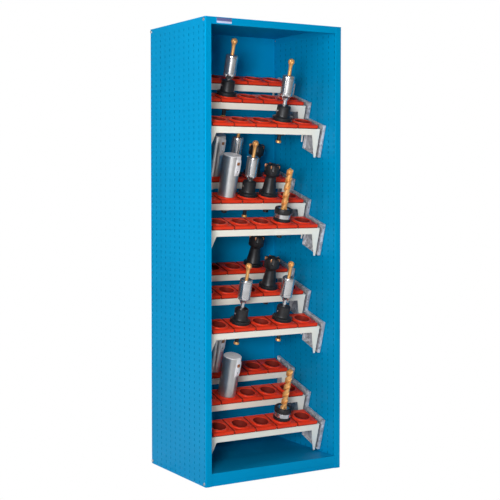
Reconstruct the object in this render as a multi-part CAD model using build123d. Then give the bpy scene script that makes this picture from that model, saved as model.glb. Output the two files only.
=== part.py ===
from build123d import *
from build123d.topology import SkipClean
import math
import os

# Storage rack for machine tool holders. All sizes are in millimetres and degrees.
# X runs to the right, Y to the back and Z up. The origin is the middle of the base.

# Cabinet
cabinet_width = 700.0
cabinet_depth = 520.0
cabinet_height = 2000.0
sheet = 1.2
core_set_in = 14.0
post_width = 30.0
post_return = 6.0
post_outer_radius = 4.0
post_inner_radius = 2.0
roof_rail_height = 30.0
roof_rail_return = 12.0
floor_height = 56.0
sill_lip_height = 20.0
sill_lip_set_back = 3.0

# Slots in the double side walls
slot_width = 4.0
slot_height = 12.0
column_pitch = 45.0
column_count = 12
row_pitch = 25.0
first_row = 12.5

# Name plate on the roof rail
plate_length = 73.0
plate_height = 22.0
plate_thickness = 1.0
plate_from_left = 56.0
plate_below_top = 3.0
plate_corner = 1.5

# Bolts through the corners of the side walls
corner_bolt_inset = 12.5
corner_bolt_shank = 4.0
corner_bolt_head = 7.0
corner_bolt_head_height = 4.0
bolt_play = 0.2

# Tiers of three stepped shelves
tier_count = 4
rows_per_tier = 18
lowest_tier = 209.0
tier_set_back = 70.0
tier_tilt = 17.0
row_names = ["front", "middle", "rear"]
shelf_run = [0.0, 145.0, 303.0]
shelf_rise = [0.0, 73.0, 124.0]

# The middle and rear shelves of one unit hang one row of slots higher
raised_unit = 3
raised_by_rows = 1

# Stepped side brackets
bracket_sheet = 2.0
bracket_lip = 16.0
bracket_wall_gap = 4.0
bracket_front_height = 150.0
bracket_foot = 20.0
bracket_rear_reach = 60.0
bracket_underside = 25.0
hook_columns = [3, 6, 9]
hook_below_edge = 30.0
hook_thickness = 3.0
hook_tongue = 10.0
hook_drop = 8.0
hook_width = 3.0

# Shelves
shelf_sheet = 1.5
shelf_end_gap = 12.0
shelf_depth = 128.0
rail_height = 28.5
rear_hem = 15.0
leg_width = 38.0
leg_tip = 9.0
rear_leg_width = 24.0
rear_leg_length = 55.0
shelf_bolt_front = 30.0
shelf_bolt_rear = 100.0
shelf_bolt_drop = 12.0
shelf_bolt_shank = 4.0
shelf_bolt_sleeve = 7.0
shelf_bolt_head = 6.5
shelf_bolt_head_height = 5.0
shelf_nut_height = 3.0

# Plastic socket inserts
socket_columns = 5
socket_pitch = 110.5
insert_play = 0.8
insert_depth = 124.0
insert_thickness = 17.0
insert_overhang = 1.0
insert_edge = 1.0
insert_corner = 3.5
socket_set_in = 56.0
ring_height = 6.0
ring_radius = 46.0
ring_edge = 1.5
collar_radius = 40.0
collar_play = 0.8
collar_length = 23.0
bore_play = 0.4
pip_radius = 2.5
pip_height = 1.0
pip_set_in = 9.0

# Steep taper of every tool holder
gauge_diameter = 69.85
taper_ratio = 7.0 / 24.0
taper_length = 66.0
seat_gap = 0.3
stud_neck = 9.0
stud_head = 12.5
stud_edge = 2.0
long_stud = 39.0
long_stud_head = 15.0
short_stud = 16.0
short_stud_head = 12.0

# Ball mills
mill_flange_radius = 46.0
flange_height = 16.0
flange_groove = 4.0
mill_neck_radius = 31.0
mill_neck_fillet = 9.0
mill_neck_top = 68.0
mill_neck_edge = 3.0
spindle_radius = 9.0
chuck_radius = 28.0
chuck_length = 90.0
chuck_edge = 4.0
short_reach = 115.0
long_reach = 138.0
shank_radius = 7.5
ball_radius = 14.5
ball_height = 60.0
set_screw_radius = 5.0
set_screw_height = 44.0
set_screw_depth = 6.0
set_screw_proud = 0.8

# Boring bars
bar_radius = 41.0
bar_height = 190.0
bar_edge = 1.5
bar_mark_radius = 4.0
bar_mark_depth = 2.0
cartridge_direction = -70.0
cartridge_width = 28.0
cartridge_depth = 14.0
cartridge_length = 88.0
cartridge_proud = 4.0
cartridge_slope = 20.0
cartridge_play = 0.4
cartridge_screw_radius = 3.5
cartridge_screw_depth = 6.0
cutting_plate = 13.0
cutting_plate_thickness = 5.0

# Face mills
face_flange_radius = 45.0
face_neck_foot = 33.0
face_neck_top = 23.0
face_neck_height = 88.0
face_head_radius = 36.0
face_head_start = 100.0
face_height = 145.0
face_plates = 5
face_first_plate = -200.0
face_plate_size = 12.0
face_plate_thickness = 5.0
face_plate_proud = 1.0
face_pocket = 14.0
face_bore_radius = 11.0
face_bore_depth = 8.0

# Drills in collet chucks
drill_foot_radius = 40.0
drill_foot_height = 14.0
drill_band_radius = 38.5
drill_band_height = 20.0
drill_nut_radius = 41.0
drill_nut_height = 24.0
drill_nut_edge = 3.0
drill_nut_land = 6.0
drill_nut_bevel = 3.0
drill_nut_recess = 4.0
drill_radius = 14.5
drill_length = 187.0
drill_point = 9.0
drill_web = 4.5
drill_flute_radius = 9.2
drill_turn = 700.0

# Tools on the shelves: kind, unit from the top, row and column from the left
tool_places = [
    ("ball_mill", 1, 1, 2),
    ("ball_mill", 1, 0, 4),
    ("ball_mill", 2, 2, 3),
    ("ball_mill", 2, 1, 3),
    ("ball_mill", 3, 0, 2),
    ("ball_mill", 3, 0, 4),
    ("boring_bar", 2, 2, 2),
    ("boring_bar", 2, 1, 2),
    ("boring_bar", 4, 2, 2),
    ("boring_bar", 4, 1, 2),
    ("face_mill", 2, 2, 4),
    ("face_mill", 2, 1, 4),
    ("face_mill", 3, 2, 4),
    ("face_mill", 3, 1, 4),
    ("drill", 2, 0, 4),
    ("drill", 4, 0, 4),
]
long_mill_row = 0

# Sizes that follow from the ones above
half_width = cabinet_width / 2
half_depth = cabinet_depth / 2
wall_inside = half_width - post_width
under_roof = cabinet_height - sheet
first_column = -(column_count - 1) * column_pitch / 2
tier_pitch = rows_per_tier * row_pitch
tier_front = -half_depth + tier_set_back
web_outside = wall_inside - bracket_wall_gap
web_inside = web_outside - bracket_sheet
shelf_half = web_outside - bracket_lip - shelf_end_gap
deck_top = -insert_thickness
rail_bottom = deck_top - rail_height
bore_radius = gauge_diameter / 2 + bore_play
corner_bolt_y = half_depth - corner_bolt_inset
corner_bolt_heights = [corner_bolt_inset, cabinet_height - corner_bolt_inset]


def box(x0, x1, y0, y1, z0, z1):
    return Solid.make_box(x1 - x0, y1 - y0, z1 - z0).moved(Location((x0, y0, z0)))


def fused(pieces):
    return pieces[0].fuse(*pieces[1:]).solids()[0]


def cut(piece, tools):
    return piece.cut(*tools).solids()[0]


def flat(points, direction):
    outline = Wire.make_polygon([Vector(*p) for p in points], close=True)
    return Solid.extrude(Face(outline), Vector(*direction))


def rod(radius, start, end):
    start = Vector(*start)
    along = Vector(*end) - start
    return Solid.make_cylinder(radius, along.length, Plane(start, z_dir=along))


def turned(outline):
    """A solid turned about Z from radius and height pairs; a third value bulges the edge."""
    edges = []
    for here, there in zip(outline, outline[1:] + outline[:1]):
        start = Vector(here[0], 0, here[1])
        end = Vector(there[0], 0, there[1])
        if (end - start).length < 1e-6:
            continue
        if len(there) == 3:
            across = (end - start).cross(Vector(0, 1, 0)).normalized()
            middle = (start + end) * 0.5 + across * there[2]
            edges.append(Edge.make_three_point_arc(start, middle, end))
        else:
            edges.append(Edge.make_line(start, end))
    return Solid.revolve(Face(Wire(edges)), 360, Axis.Z)


def hexagon(radius, start, end):
    start = Vector(*start)
    along = Vector(*end) - start
    face = Plane(start, z_dir=along) * RegularPolygon(radius, 6)
    return Solid.extrude(face.face(), along)


def write(name, pieces):
    if not isinstance(pieces, list):
        pieces = [pieces]
    shape = pieces[0] if len(pieces) == 1 else Compound(children=pieces)
    export_step(shape, f"parts/{name}.step", write_pcurves=False)
    print(f"{name}: {len(pieces)} solids")


# Cabinet shell

def slot_rows(bottom, top):
    rows = []
    z = first_row
    while z + slot_height / 2 < top:
        if z - slot_height / 2 > bottom:
            rows.append(z)
        z += row_pitch
    return rows


def slotted_sheet(x, slots_from, slots_to):
    """One flat wall sheet in the plane X = x, made column by column, with its slots."""
    bottom, top = 0, under_roof
    front = -half_depth + post_return
    columns = [first_column + i * column_pitch for i in range(column_count)]
    bounds = [front] + [c + column_pitch / 2 for c in columns[:-1]] + [-front]
    strips = []
    for i, column in enumerate(columns):
        y0, y1 = bounds[i], bounds[i + 1]
        outer = Wire.make_polygon([(x, y0, bottom), (x, y1, bottom), (x, y1, top), (x, y0, top)], close=True)
        at_edge = i in (0, column_count - 1)
        holes = []
        for z in slot_rows(slots_from, slots_to):
            if at_edge and min(abs(z - b) for b in corner_bolt_heights) < slot_height:
                continue
            y2, y3 = column - slot_width / 2, column + slot_width / 2
            z2, z3 = z - slot_height / 2, z + slot_height / 2
            holes.append(Wire.make_polygon([(x, y2, z2), (x, y3, z2), (x, y3, z3), (x, y2, z3)], close=True))
        strips.append(Solid.extrude(Face(outer, holes), Vector(sheet, 0, 0)))
    with SkipClean():
        wall = strips[0].fuse(*strips[1:])
        for hole in wall_bolt_holes(x):
            wall = wall.cut(hole)
    return wall.solids()[0]


def wall_bolt_holes(x):
    radius = corner_bolt_shank + bolt_play
    return [
        rod(radius, (x - sheet, y, z), (x + 2 * sheet, y, z))
        for z in corner_bolt_heights for y in (-corner_bolt_y, corner_bolt_y)
    ]


def wall_core():
    """The plain sheet inside the right wall, from the front post's web to the rear one's."""
    x = half_width - core_set_in - sheet
    reach = half_depth - sheet
    return cut(box(x, x + sheet, -reach, reach, 0, under_roof), wall_bolt_holes(x))


def corner_post():
    """The left front post: a folded channel, open to the back."""
    x0, y0 = -half_width, -half_depth
    outer = box(x0, x0 + post_width, y0, y0 + post_return, 0, under_roof)
    inner = box(x0 + sheet, x0 + post_width - sheet, y0 + sheet, y0 + 2 * post_return, 0, under_roof)
    outer = rounded_front(outer, post_outer_radius, post_inner_radius)
    inner = rounded_front(inner, post_outer_radius - sheet, post_inner_radius - sheet)
    return cut(outer, [inner])


def rounded_front(block, left, right):
    block = block.fillet(left, [front_edges(block)[0]])
    return block.fillet(right, [front_edges(block)[-1]])


def front_edges(block):
    return block.edges().filter_by(Axis.Z).group_by(Axis.Y)[0].sort_by(Axis.X)


def four_ways(piece):
    across = piece.mirror(Plane.YZ)
    return [piece, across, piece.mirror(Plane.XZ), across.mirror(Plane.XZ)]


def roof():
    rail_front = -half_depth + plate_thickness
    bottom = cabinet_height - roof_rail_height
    rear = half_depth - sheet
    tray = fused([
        box(-half_width, half_width, -half_depth, half_depth, under_roof, cabinet_height),
        box(-wall_inside, wall_inside, rail_front, rail_front + sheet, bottom, cabinet_height),
        box(-wall_inside, wall_inside, rail_front, rail_front + roof_rail_return, bottom, bottom + sheet),
        box(-wall_inside, -wall_inside + sheet, rail_front, rear, bottom, cabinet_height),
        box(wall_inside - sheet, wall_inside, rail_front, rear, bottom, cabinet_height),
        box(-wall_inside, wall_inside, rear - sheet, rear, bottom, cabinet_height),
    ])
    return cut(tray, side_bolt_holes(corner_bolt_heights[1]))


def side_bolt_holes(z):
    return [
        rod(corner_bolt_shank + bolt_play, (-wall_inside - sheet, y, z), (-wall_inside + 2 * sheet, y, z))
        for y in (-corner_bolt_y, corner_bolt_y)
    ] + [
        rod(corner_bolt_shank + bolt_play, (wall_inside - 2 * sheet, y, z), (wall_inside + sheet, y, z))
        for y in (-corner_bolt_y, corner_bolt_y)
    ]


def floor_tray():
    front = -half_depth
    rear = half_depth - sheet
    lip_front = front + sill_lip_set_back
    tray = fused([
        box(-wall_inside, wall_inside, front, rear, floor_height - sheet, floor_height),
        box(-wall_inside, wall_inside, front, front + sheet, sill_lip_height, floor_height),
        box(-wall_inside, wall_inside, front, lip_front + sheet, sill_lip_height, sill_lip_height + sheet),
        box(-wall_inside, wall_inside, lip_front, lip_front + sheet, 0, sill_lip_height + sheet),
        box(-wall_inside, -wall_inside + sheet, lip_front, rear, 0, floor_height),
        box(wall_inside - sheet, wall_inside, lip_front, rear, 0, floor_height),
        box(-wall_inside, wall_inside, rear - sheet, rear, 0, floor_height),
    ])
    return cut(tray, side_bolt_holes(corner_bolt_heights[0]))


def name_plate():
    x0 = -half_width + plate_from_left
    z1 = cabinet_height - plate_below_top
    blank = box(x0, x0 + plate_length, -half_depth, -half_depth + plate_thickness, z1 - plate_height, z1)
    return blank.fillet(plate_corner, blank.edges().filter_by(Axis.Y))


def corner_bolts():
    """Dome headed bolts, from the outer sheet through the liner into the tray flanges."""
    bolts = []
    for z in corner_bolt_heights:
        inside = -wall_inside + sheet
        head = Solid.make_cylinder(corner_bolt_head, corner_bolt_head_height)
        head = head.chamfer(corner_bolt_head_height / 2, None, [head.edges().sort_by(Axis.Z)[-1]])
        head = head.moved(Location((-half_width, -corner_bolt_y, z), (0, -90, 0)))
        shank = rod(corner_bolt_shank, (-half_width, -corner_bolt_y, z), (inside, -corner_bolt_y, z))
        bolts += four_ways(fused([head, shank]))
    return bolts


# Tiers: places

def tier_corner(unit):
    return Vector(0, tier_front, lowest_tier + (tier_count - unit) * tier_pitch)


def shelf_corner(unit, row):
    """Run and rise of a shelf's front corner, along the tier's tilted directions."""
    raised = raised_by_rows * row_pitch if unit == raised_unit and row > 0 else 0
    tilt = math.radians(tier_tilt)
    return shelf_run[row] + raised * math.sin(tilt), shelf_rise[row] + raised * math.cos(tilt)


def shelf_place(unit, row):
    return Location(tier_corner(unit), (tier_tilt, 0, 0)) * Location((0, *shelf_corner(unit, row)))


def socket_x(column):
    return (column - (socket_columns + 1) / 2) * socket_pitch


def socket_place(unit, row, column):
    return shelf_place(unit, row) * Location((socket_x(column), socket_set_in, ring_height))


def from_tier(along, up):
    """Y and Z from the tier's front corner for a point in the tilted directions."""
    tilt = math.radians(tier_tilt)
    return along * math.cos(tilt) - up * math.sin(tilt), along * math.sin(tilt) + up * math.cos(tilt)


# Tiers: brackets

def bracket_outline(unit):
    tilt = math.radians(tier_tilt)
    points = [from_tier(0, 0)]
    for row in (1, 2):
        run, rise = shelf_corner(unit, row)
        points.append(from_tier(run, shelf_corner(unit, row - 1)[1]))
        points.append(from_tier(run, rise))
    corner = points[-1]
    rear = cabinet_depth - bracket_rear_reach - tier_set_back
    points.append((rear, corner[1] + (rear - corner[0]) * math.tan(tilt)))
    foot = from_tier(0, -bracket_front_height)
    heel = foot[0] + bracket_foot
    points.append((rear, foot[1] + (rear - heel) * math.tan(math.radians(bracket_underside))))
    points.append((heel, foot[1]))
    points.append(foot)
    return points


def bracket(unit):
    """A stepped web with a lip all round and its hooks, for the right side of a unit."""
    corner = tier_corner(unit)
    outline = [Vector(web_outside, y, z) + corner for y, z in bracket_outline(unit)]
    outer = Wire.make_polygon(outline, close=True)
    inner = outer.offset_2d(-bracket_sheet, kind=Kind.INTERSECTION)
    solid = Solid.extrude(Face(outer), Vector(-bracket_lip, 0, 0))
    hollow = Solid.extrude(Face(inner), Vector(-bracket_lip, 0, 0)).moved(Location((-bracket_sheet, 0, 0)))
    radius = shelf_bolt_shank + bolt_play
    holes = [
        rod(radius, (web_outside + bracket_sheet, y, z), (web_inside - bracket_sheet, y, z))
        for y, z in shelf_bolt_places(unit)
    ]
    return fused([cut(solid, [hollow] + holes)] + bracket_hooks(unit))


def shelf_bolt_places(unit):
    places = []
    corner = tier_corner(unit)
    for row in range(len(shelf_run)):
        run, rise = shelf_corner(unit, row)
        for set_in in (shelf_bolt_front, shelf_bolt_rear):
            y, z = from_tier(run + set_in, rise + deck_top - shelf_bolt_drop)
            places.append((corner.Y + y, corner.Z + z))
    return places


def shelf_bolts(unit):
    """Bolts with a sleeve that bridges the shelf end and the bracket, for one right side."""
    bolts = []
    head_seat = shelf_half - shelf_sheet
    nut_end = web_outside + shelf_nut_height
    for y, z in shelf_bolt_places(unit):
        bolts.append(fused([
            hexagon(shelf_bolt_head, (head_seat - shelf_bolt_head_height, y, z), (head_seat, y, z)),
            rod(shelf_bolt_shank, (head_seat, y, z), (nut_end, y, z)),
            rod(shelf_bolt_sleeve, (shelf_half, y, z), (web_inside, y, z)),
            hexagon(shelf_bolt_head, (web_outside, y, z), (nut_end, y, z)),
        ]))
    return bolts


def bracket_top(unit, y):
    """Height of the bracket's upper edge at a distance behind its front corner."""
    slope = math.tan(math.radians(tier_tilt))
    height = y * slope
    for row in (1, 2):
        corner = from_tier(*shelf_corner(unit, row))
        if y > corner[0] + bracket_sheet:
            height = corner[1] + (y - corner[0]) * slope
    return height


def bracket_hooks(unit):
    """The right bracket's hooks, each from the web through a slot of the liner."""
    hooks = []
    corner = tier_corner(unit)
    for index in hook_columns:
        y = first_column + index * column_pitch
        top = corner.Z + bracket_top(unit, y - corner.Y) - hook_below_edge
        row = math.floor((top - first_row) / row_pitch)
        seat = first_row + row * row_pitch - slot_height / 2
        behind = wall_inside + sheet
        side = y - hook_thickness / 2
        hooks.append(flat([
            (web_inside, side, seat),
            (behind, side, seat),
            (behind, side, seat - hook_drop),
            (behind + hook_width, side, seat - hook_drop),
            (behind + hook_width, side, seat + hook_tongue),
            (web_inside, side, seat + hook_tongue),
        ], (0, hook_thickness, 0)))
    return hooks


# Tiers: shelves and inserts

def shelf():
    """A folded shelf with a rail, tapered legs and round openings, in its own tilted frame."""
    front = insert_overhang
    rear = shelf_depth
    foot = -bracket_front_height
    rear_foot = deck_top - rear_leg_length
    pieces = [
        box(-shelf_half, shelf_half, front, rear, deck_top - shelf_sheet, deck_top),
        box(-shelf_half, shelf_half, front, front + shelf_sheet, rail_bottom, deck_top),
        box(-shelf_half, shelf_half, rear - shelf_sheet, rear, deck_top - rear_hem, deck_top),
    ]
    front_leg = flat([
        (shelf_half, front, deck_top),
        (shelf_half - leg_width, front, deck_top),
        (shelf_half - leg_width, front, rail_bottom),
        (shelf_half - leg_tip, front, foot),
        (shelf_half, front, foot),
    ], (0, shelf_sheet, 0))
    rear_leg = flat([
        (shelf_half, rear, deck_top),
        (shelf_half - rear_leg_width, rear, deck_top),
        (shelf_half - rear_leg_width, rear, deck_top - rear_hem),
        (shelf_half - leg_tip, rear, rear_foot),
        (shelf_half, rear, rear_foot),
    ], (0, -shelf_sheet, 0))
    end_plate = flat([
        (shelf_half, front, deck_top),
        (shelf_half, front, foot),
        (shelf_half, front + leg_tip, foot),
        (shelf_half, front + leg_width, rail_bottom),
        (shelf_half, rear - rear_leg_width, rail_bottom),
        (shelf_half, rear - leg_tip, rear_foot),
        (shelf_half, rear, rear_foot),
        (shelf_half, rear, deck_top),
    ], (-shelf_sheet, 0, 0))
    end_plate = cut(end_plate, [
        rod(
            shelf_bolt_shank + bolt_play,
            (shelf_half - 2 * shelf_sheet, set_in, deck_top - shelf_bolt_drop),
            (shelf_half + shelf_sheet, set_in, deck_top - shelf_bolt_drop),
        )
        for set_in in (shelf_bolt_front, shelf_bolt_rear)
    ])
    for piece in (front_leg, rear_leg, end_plate):
        pieces += [piece, piece.mirror(Plane.YZ)]
    openings = [
        rod(
            collar_radius + collar_play,
            (socket_x(column + 1), socket_set_in, deck_top - 2 * shelf_sheet),
            (socket_x(column + 1), socket_set_in, deck_top + shelf_sheet),
        )
        for column in range(socket_columns)
    ]
    return cut(fused(pieces), openings)


def insert():
    """One socket insert around the origin: a square top, a raised ring and a bored collar."""
    half = (socket_pitch - insert_play) / 2
    y0 = -socket_set_in
    top = box(-half, half, y0, y0 + insert_depth, -insert_thickness, 0)
    top = top.chamfer(insert_corner, None, top.edges().filter_by(Axis.Z))
    top = top.chamfer(insert_edge, None, top.faces().sort_by(Axis.Z)[-1].edges())
    ring = turned([(0, -insert_edge), (ring_radius, -insert_edge), (ring_radius, ring_height - ring_edge),
                   (ring_radius - ring_edge, ring_height), (0, ring_height)])
    collar = Solid.make_cylinder(collar_radius, collar_length, Plane((0, 0, deck_top - collar_length)))
    pip = Solid.make_cylinder(pip_radius, pip_height, Plane((0, y0 + pip_set_in, 0)))
    bore = turned([
        (0, deck_top - 2 * collar_length),
        (bore_radius, deck_top - 2 * collar_length),
        (bore_radius, ring_height - ring_edge),
        (bore_radius + ring_edge, ring_height),
        (bore_radius + ring_edge, 2 * ring_height),
        (0, 2 * ring_height),
    ])
    return cut(fused([top, ring, collar, pip]), [bore])


def unit_inserts(unit):
    pieces = []
    one = insert()
    for row in range(len(shelf_run)):
        for column in range(1, socket_columns + 1):
            place = shelf_place(unit, row) * Location((socket_x(column), socket_set_in, 0))
            pieces.append(one.moved(place))
    return pieces


# Tools, standing on the ring of a socket at the origin

def shaft(stud, stud_head_length):
    """Radius and height pairs of the taper and pull stud, from the bottom up to the flange."""
    tip = taper_length + stud
    small_end = gauge_diameter / 2 - taper_length * taper_ratio / 2
    return [
        (0, seat_gap - tip),
        (stud_head - stud_edge, seat_gap - tip),
        (stud_head, seat_gap - tip + stud_edge),
        (stud_head, seat_gap - tip + stud_head_length),
        (stud_neck, seat_gap - tip + stud_head_length),
        (stud_neck, seat_gap - taper_length),
        (small_end, seat_gap - taper_length),
        (gauge_diameter / 2, seat_gap),
    ]


def flange(radius):
    middle = flange_height / 2
    return [
        (radius, seat_gap),
        (radius, middle - flange_groove),
        (radius - flange_groove, middle - flange_groove / 2),
        (radius - flange_groove, middle + flange_groove / 2),
        (radius, middle + flange_groove),
        (radius, flange_height),
    ]


def ball_mill(reach):
    top = mill_neck_top
    hollow = mill_neck_fillet * (1 - math.sqrt(0.5))
    holder = turned(shaft(long_stud, long_stud_head) + flange(mill_flange_radius) + [
        (mill_neck_radius + mill_neck_fillet, flange_height),
        (mill_neck_radius, flange_height + mill_neck_fillet, -hollow),
        (mill_neck_radius, top - mill_neck_edge),
        (mill_neck_radius - mill_neck_edge, top),
        (0, top),
    ])
    socket = rod(set_screw_radius, (-mill_neck_radius - set_screw_depth, 0, set_screw_height),
                 (-mill_neck_radius + set_screw_depth, 0, set_screw_height))
    screw = rod(set_screw_radius, (-mill_neck_radius - set_screw_proud, 0, set_screw_height),
                (-mill_neck_radius + set_screw_depth, 0, set_screw_height))
    rim = top + reach
    cone = rim - chuck_length
    chuck = turned([
        (0, top),
        (spindle_radius, top),
        (spindle_radius, cone - chuck_radius + spindle_radius),
        (chuck_radius, cone),
        (chuck_radius, rim - chuck_edge),
        (chuck_radius - chuck_edge, rim),
        (0, rim),
    ])
    centre = rim + ball_height
    neck = math.sqrt(ball_radius ** 2 - shank_radius ** 2)
    bulge = ball_radius * (1 - math.sqrt(0.5))
    blade = turned([
        (0, rim),
        (shank_radius, rim),
        (shank_radius, centre - neck - ball_radius),
        (ball_radius, centre),
        (0, centre + ball_radius, bulge),
    ])
    return {"holder": [cut(holder, [socket]), screw], "cutter": [chuck, blade]}


def boring_bar():
    body = turned(shaft(short_stud, short_stud_head) + [
        (bar_radius - bar_edge, seat_gap),
        (bar_radius, seat_gap + bar_edge),
        (bar_radius, bar_height - bar_edge),
        (bar_radius - bar_edge, bar_height),
        (bar_mark_radius, bar_height),
        (bar_mark_radius, bar_height - bar_mark_depth),
        (0, bar_height - bar_mark_depth),
    ])
    half = cartridge_width / 2
    floor = bar_radius - cartridge_depth
    seat = bar_height - cartridge_length
    pocket = box(floor, bar_radius + cartridge_depth, -half, half, seat, bar_height + bar_edge)
    outer = bar_radius + cartridge_proud
    block = flat([
        (floor, -half + cartridge_play, seat),
        (bar_radius - bar_edge, -half + cartridge_play, seat),
        (outer, -half + cartridge_play, seat + cartridge_slope),
        (outer, -half + cartridge_play, bar_height - cartridge_slope),
        (floor, -half + cartridge_play, bar_height),
    ], (0, cartridge_width - 2 * cartridge_play, 0))
    screw_height = seat + cartridge_slope
    hole = rod(cartridge_screw_radius, (outer - cartridge_screw_depth, 0, screw_height),
               (outer + cartridge_screw_depth, 0, screw_height))
    plate_top = bar_height - cartridge_slope - cartridge_proud
    plate = box(outer, outer + cutting_plate_thickness, -half + cartridge_play,
                -half + cartridge_play + cutting_plate, plate_top - cutting_plate, plate_top)
    turn = Location((0, 0, 0), (0, 0, cartridge_direction))
    pieces = [body.cut(pocket.moved(turn)).solids()[0], cut(block, [hole]).moved(turn), plate.moved(turn)]
    return {"bar": pieces}


def face_mill():
    body = turned(shaft(short_stud, short_stud_head) + flange(face_flange_radius) + [
        (face_neck_foot + flange_groove, flange_height),
        (face_neck_foot, flange_height + flange_groove),
        (face_neck_top, face_neck_height),
        (face_head_radius, face_head_start),
        (face_head_radius, face_height),
        (face_bore_radius, face_height),
        (face_bore_radius, face_height - face_bore_depth),
        (0, face_height - face_bore_depth),
    ])
    pieces = []
    for i in range(face_plates):
        turn = Location((0, 0, 0), (0, 0, face_first_plate + i * 360 / face_plates))
        rim = face_head_radius
        pocket = box(rim - face_pocket, rim + face_pocket, -face_plate_thickness, face_pocket,
                     face_height - 2 * face_pocket, face_height + face_pocket)
        tip = rim + face_plate_proud
        top = face_height + face_plate_proud
        plate = box(tip - face_plate_size, tip, -face_plate_thickness, 0, top - face_plate_size, top)
        body = body.cut(pocket.moved(turn)).solids()[0]
        seat = box(rim - face_pocket, rim - face_plate_proud, -face_plate_thickness, 0,
                   face_height - 2 * face_pocket, top - face_plate_size)
        body = fused([body, seat.moved(turn)])
        pieces.append(plate.moved(turn))
    return {"cutter": [body] + pieces}


def drill():
    band_top = drill_foot_height + drill_band_height
    nut_top = band_top + drill_nut_height
    floor = nut_top - drill_nut_recess
    foot = turned(shaft(short_stud, short_stud_head) + [
        (drill_foot_radius, seat_gap),
        (drill_foot_radius, drill_foot_height),
        (0, drill_foot_height),
    ])
    band = Solid.make_cylinder(drill_band_radius, drill_band_height, Plane((0, 0, drill_foot_height)))
    nut = turned([
        (0, band_top),
        (drill_nut_radius - drill_nut_edge, band_top),
        (drill_nut_radius, band_top + drill_nut_edge),
        (drill_nut_radius, nut_top - drill_nut_edge),
        (drill_nut_radius - drill_nut_edge, nut_top),
        (drill_nut_radius - drill_nut_edge - drill_nut_land, nut_top),
        (drill_nut_radius - drill_nut_edge - drill_nut_land - drill_nut_bevel, floor),
        (0, floor),
    ])
    return {"chuck": [foot, band, nut], "bit": [twist_bit(floor)]}


def twist_bit(foot):
    """A twist drill: an outline with two flutes, turned as it rises, with a pointed end."""
    radius = drill_flute_radius
    centre = drill_web / 2 + radius
    reach = (drill_radius ** 2 - radius ** 2 + centre ** 2) / (2 * centre)
    side = math.sqrt(drill_radius ** 2 - reach ** 2)
    edges = []
    for sign in (1, -1):
        left = Vector(-sign * side, sign * reach, foot)
        right = Vector(sign * side, sign * reach, foot)
        valley = Vector(0, sign * (centre - radius), foot)
        edges.append(Edge.make_three_point_arc(left, valley, right))
        edges.append(Edge.make_three_point_arc(right, Vector(sign * drill_radius, 0, foot),
                                               Vector(sign * side, -sign * reach, foot)))
    section = Face(Wire(edges))
    height = drill_length + drill_nut_recess
    bit = Solid.extrude_linear_with_rotation(section, (0, 0, foot), (0, 0, height), drill_turn)
    hood = turned([
        (drill_radius * 2, foot + height - drill_point * 3),
        (drill_radius * 2, foot + height + drill_point),
        (0, foot + height + drill_point),
        (0, foot + height),
        (drill_radius, foot + height - drill_point),
        (drill_radius, foot + height - drill_point * 3),
    ])
    return cut(bit, [hood])


def tool(kind, row):
    if kind == "ball_mill":
        return ball_mill(long_reach if row == long_mill_row else short_reach)
    return {"boring_bar": boring_bar, "face_mill": face_mill, "drill": drill}[kind]()


def main():
    os.makedirs("parts", exist_ok=True)
    roof_bottom = cabinet_height - roof_rail_height
    write("left_outer_skin", slotted_sheet(-half_width, 0, roof_bottom))
    write("right_outer_skin", slotted_sheet(half_width - sheet, 0, roof_bottom))
    write("left_liner", slotted_sheet(-wall_inside - sheet, floor_height, roof_bottom))
    write("right_liner", slotted_sheet(wall_inside, floor_height, roof_bottom))
    write("corner_posts", four_ways(corner_post()))
    core = wall_core()
    write("wall_cores", [core, core.mirror(Plane.YZ)])
    write("back_panel", box(-wall_inside, wall_inside, half_depth - sheet, half_depth, 0, under_roof))
    write("roof_panel", roof())
    write("floor_panel", floor_tray())
    write("name_plate", name_plate())
    write("corner_bolts", corner_bolts())

    one_shelf = shelf()
    bolts = []
    for unit in range(1, tier_count + 1):
        right_bracket = bracket(unit)
        write(f"unit_{unit}_right_bracket", right_bracket)
        write(f"unit_{unit}_left_bracket", right_bracket.mirror(Plane.YZ))
        for row, name in enumerate(row_names):
            write(f"unit_{unit}_{name}_shelf", one_shelf.moved(shelf_place(unit, row)))
        write(f"unit_{unit}_inserts", unit_inserts(unit))
        for bolt in shelf_bolts(unit):
            bolts += [bolt, bolt.mirror(Plane.YZ)]
    write("shelf_bolts", bolts)

    numbers = {}
    for kind, unit, row, column in tool_places:
        numbers[kind] = numbers.get(kind, 0) + 1
        place = socket_place(unit, row, column)
        for part, pieces in tool(kind, row).items():
            write(f"{kind}_{numbers[kind]}_{part}", [piece.moved(place) for piece in pieces])


main()
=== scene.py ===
import math
import bpy
from mathutils import Matrix, Vector


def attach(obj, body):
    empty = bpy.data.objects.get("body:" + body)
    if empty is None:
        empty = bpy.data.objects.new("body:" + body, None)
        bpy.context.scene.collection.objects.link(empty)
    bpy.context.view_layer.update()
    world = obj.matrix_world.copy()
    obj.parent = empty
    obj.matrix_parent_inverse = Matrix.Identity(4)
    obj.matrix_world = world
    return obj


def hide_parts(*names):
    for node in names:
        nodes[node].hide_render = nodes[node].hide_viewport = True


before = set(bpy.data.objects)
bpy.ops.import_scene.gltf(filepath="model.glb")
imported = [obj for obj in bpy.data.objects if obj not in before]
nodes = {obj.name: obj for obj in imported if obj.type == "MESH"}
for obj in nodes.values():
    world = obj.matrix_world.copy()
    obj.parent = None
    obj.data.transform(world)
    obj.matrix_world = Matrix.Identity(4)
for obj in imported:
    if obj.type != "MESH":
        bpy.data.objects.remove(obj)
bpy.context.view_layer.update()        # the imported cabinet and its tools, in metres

mm = 0.001
units = range(1, 5)      # the tiers, from the top down
rows = ("front", "middle", "rear")
print("frame loaded:", len(nodes), "nodes")


# Finishes

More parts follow.
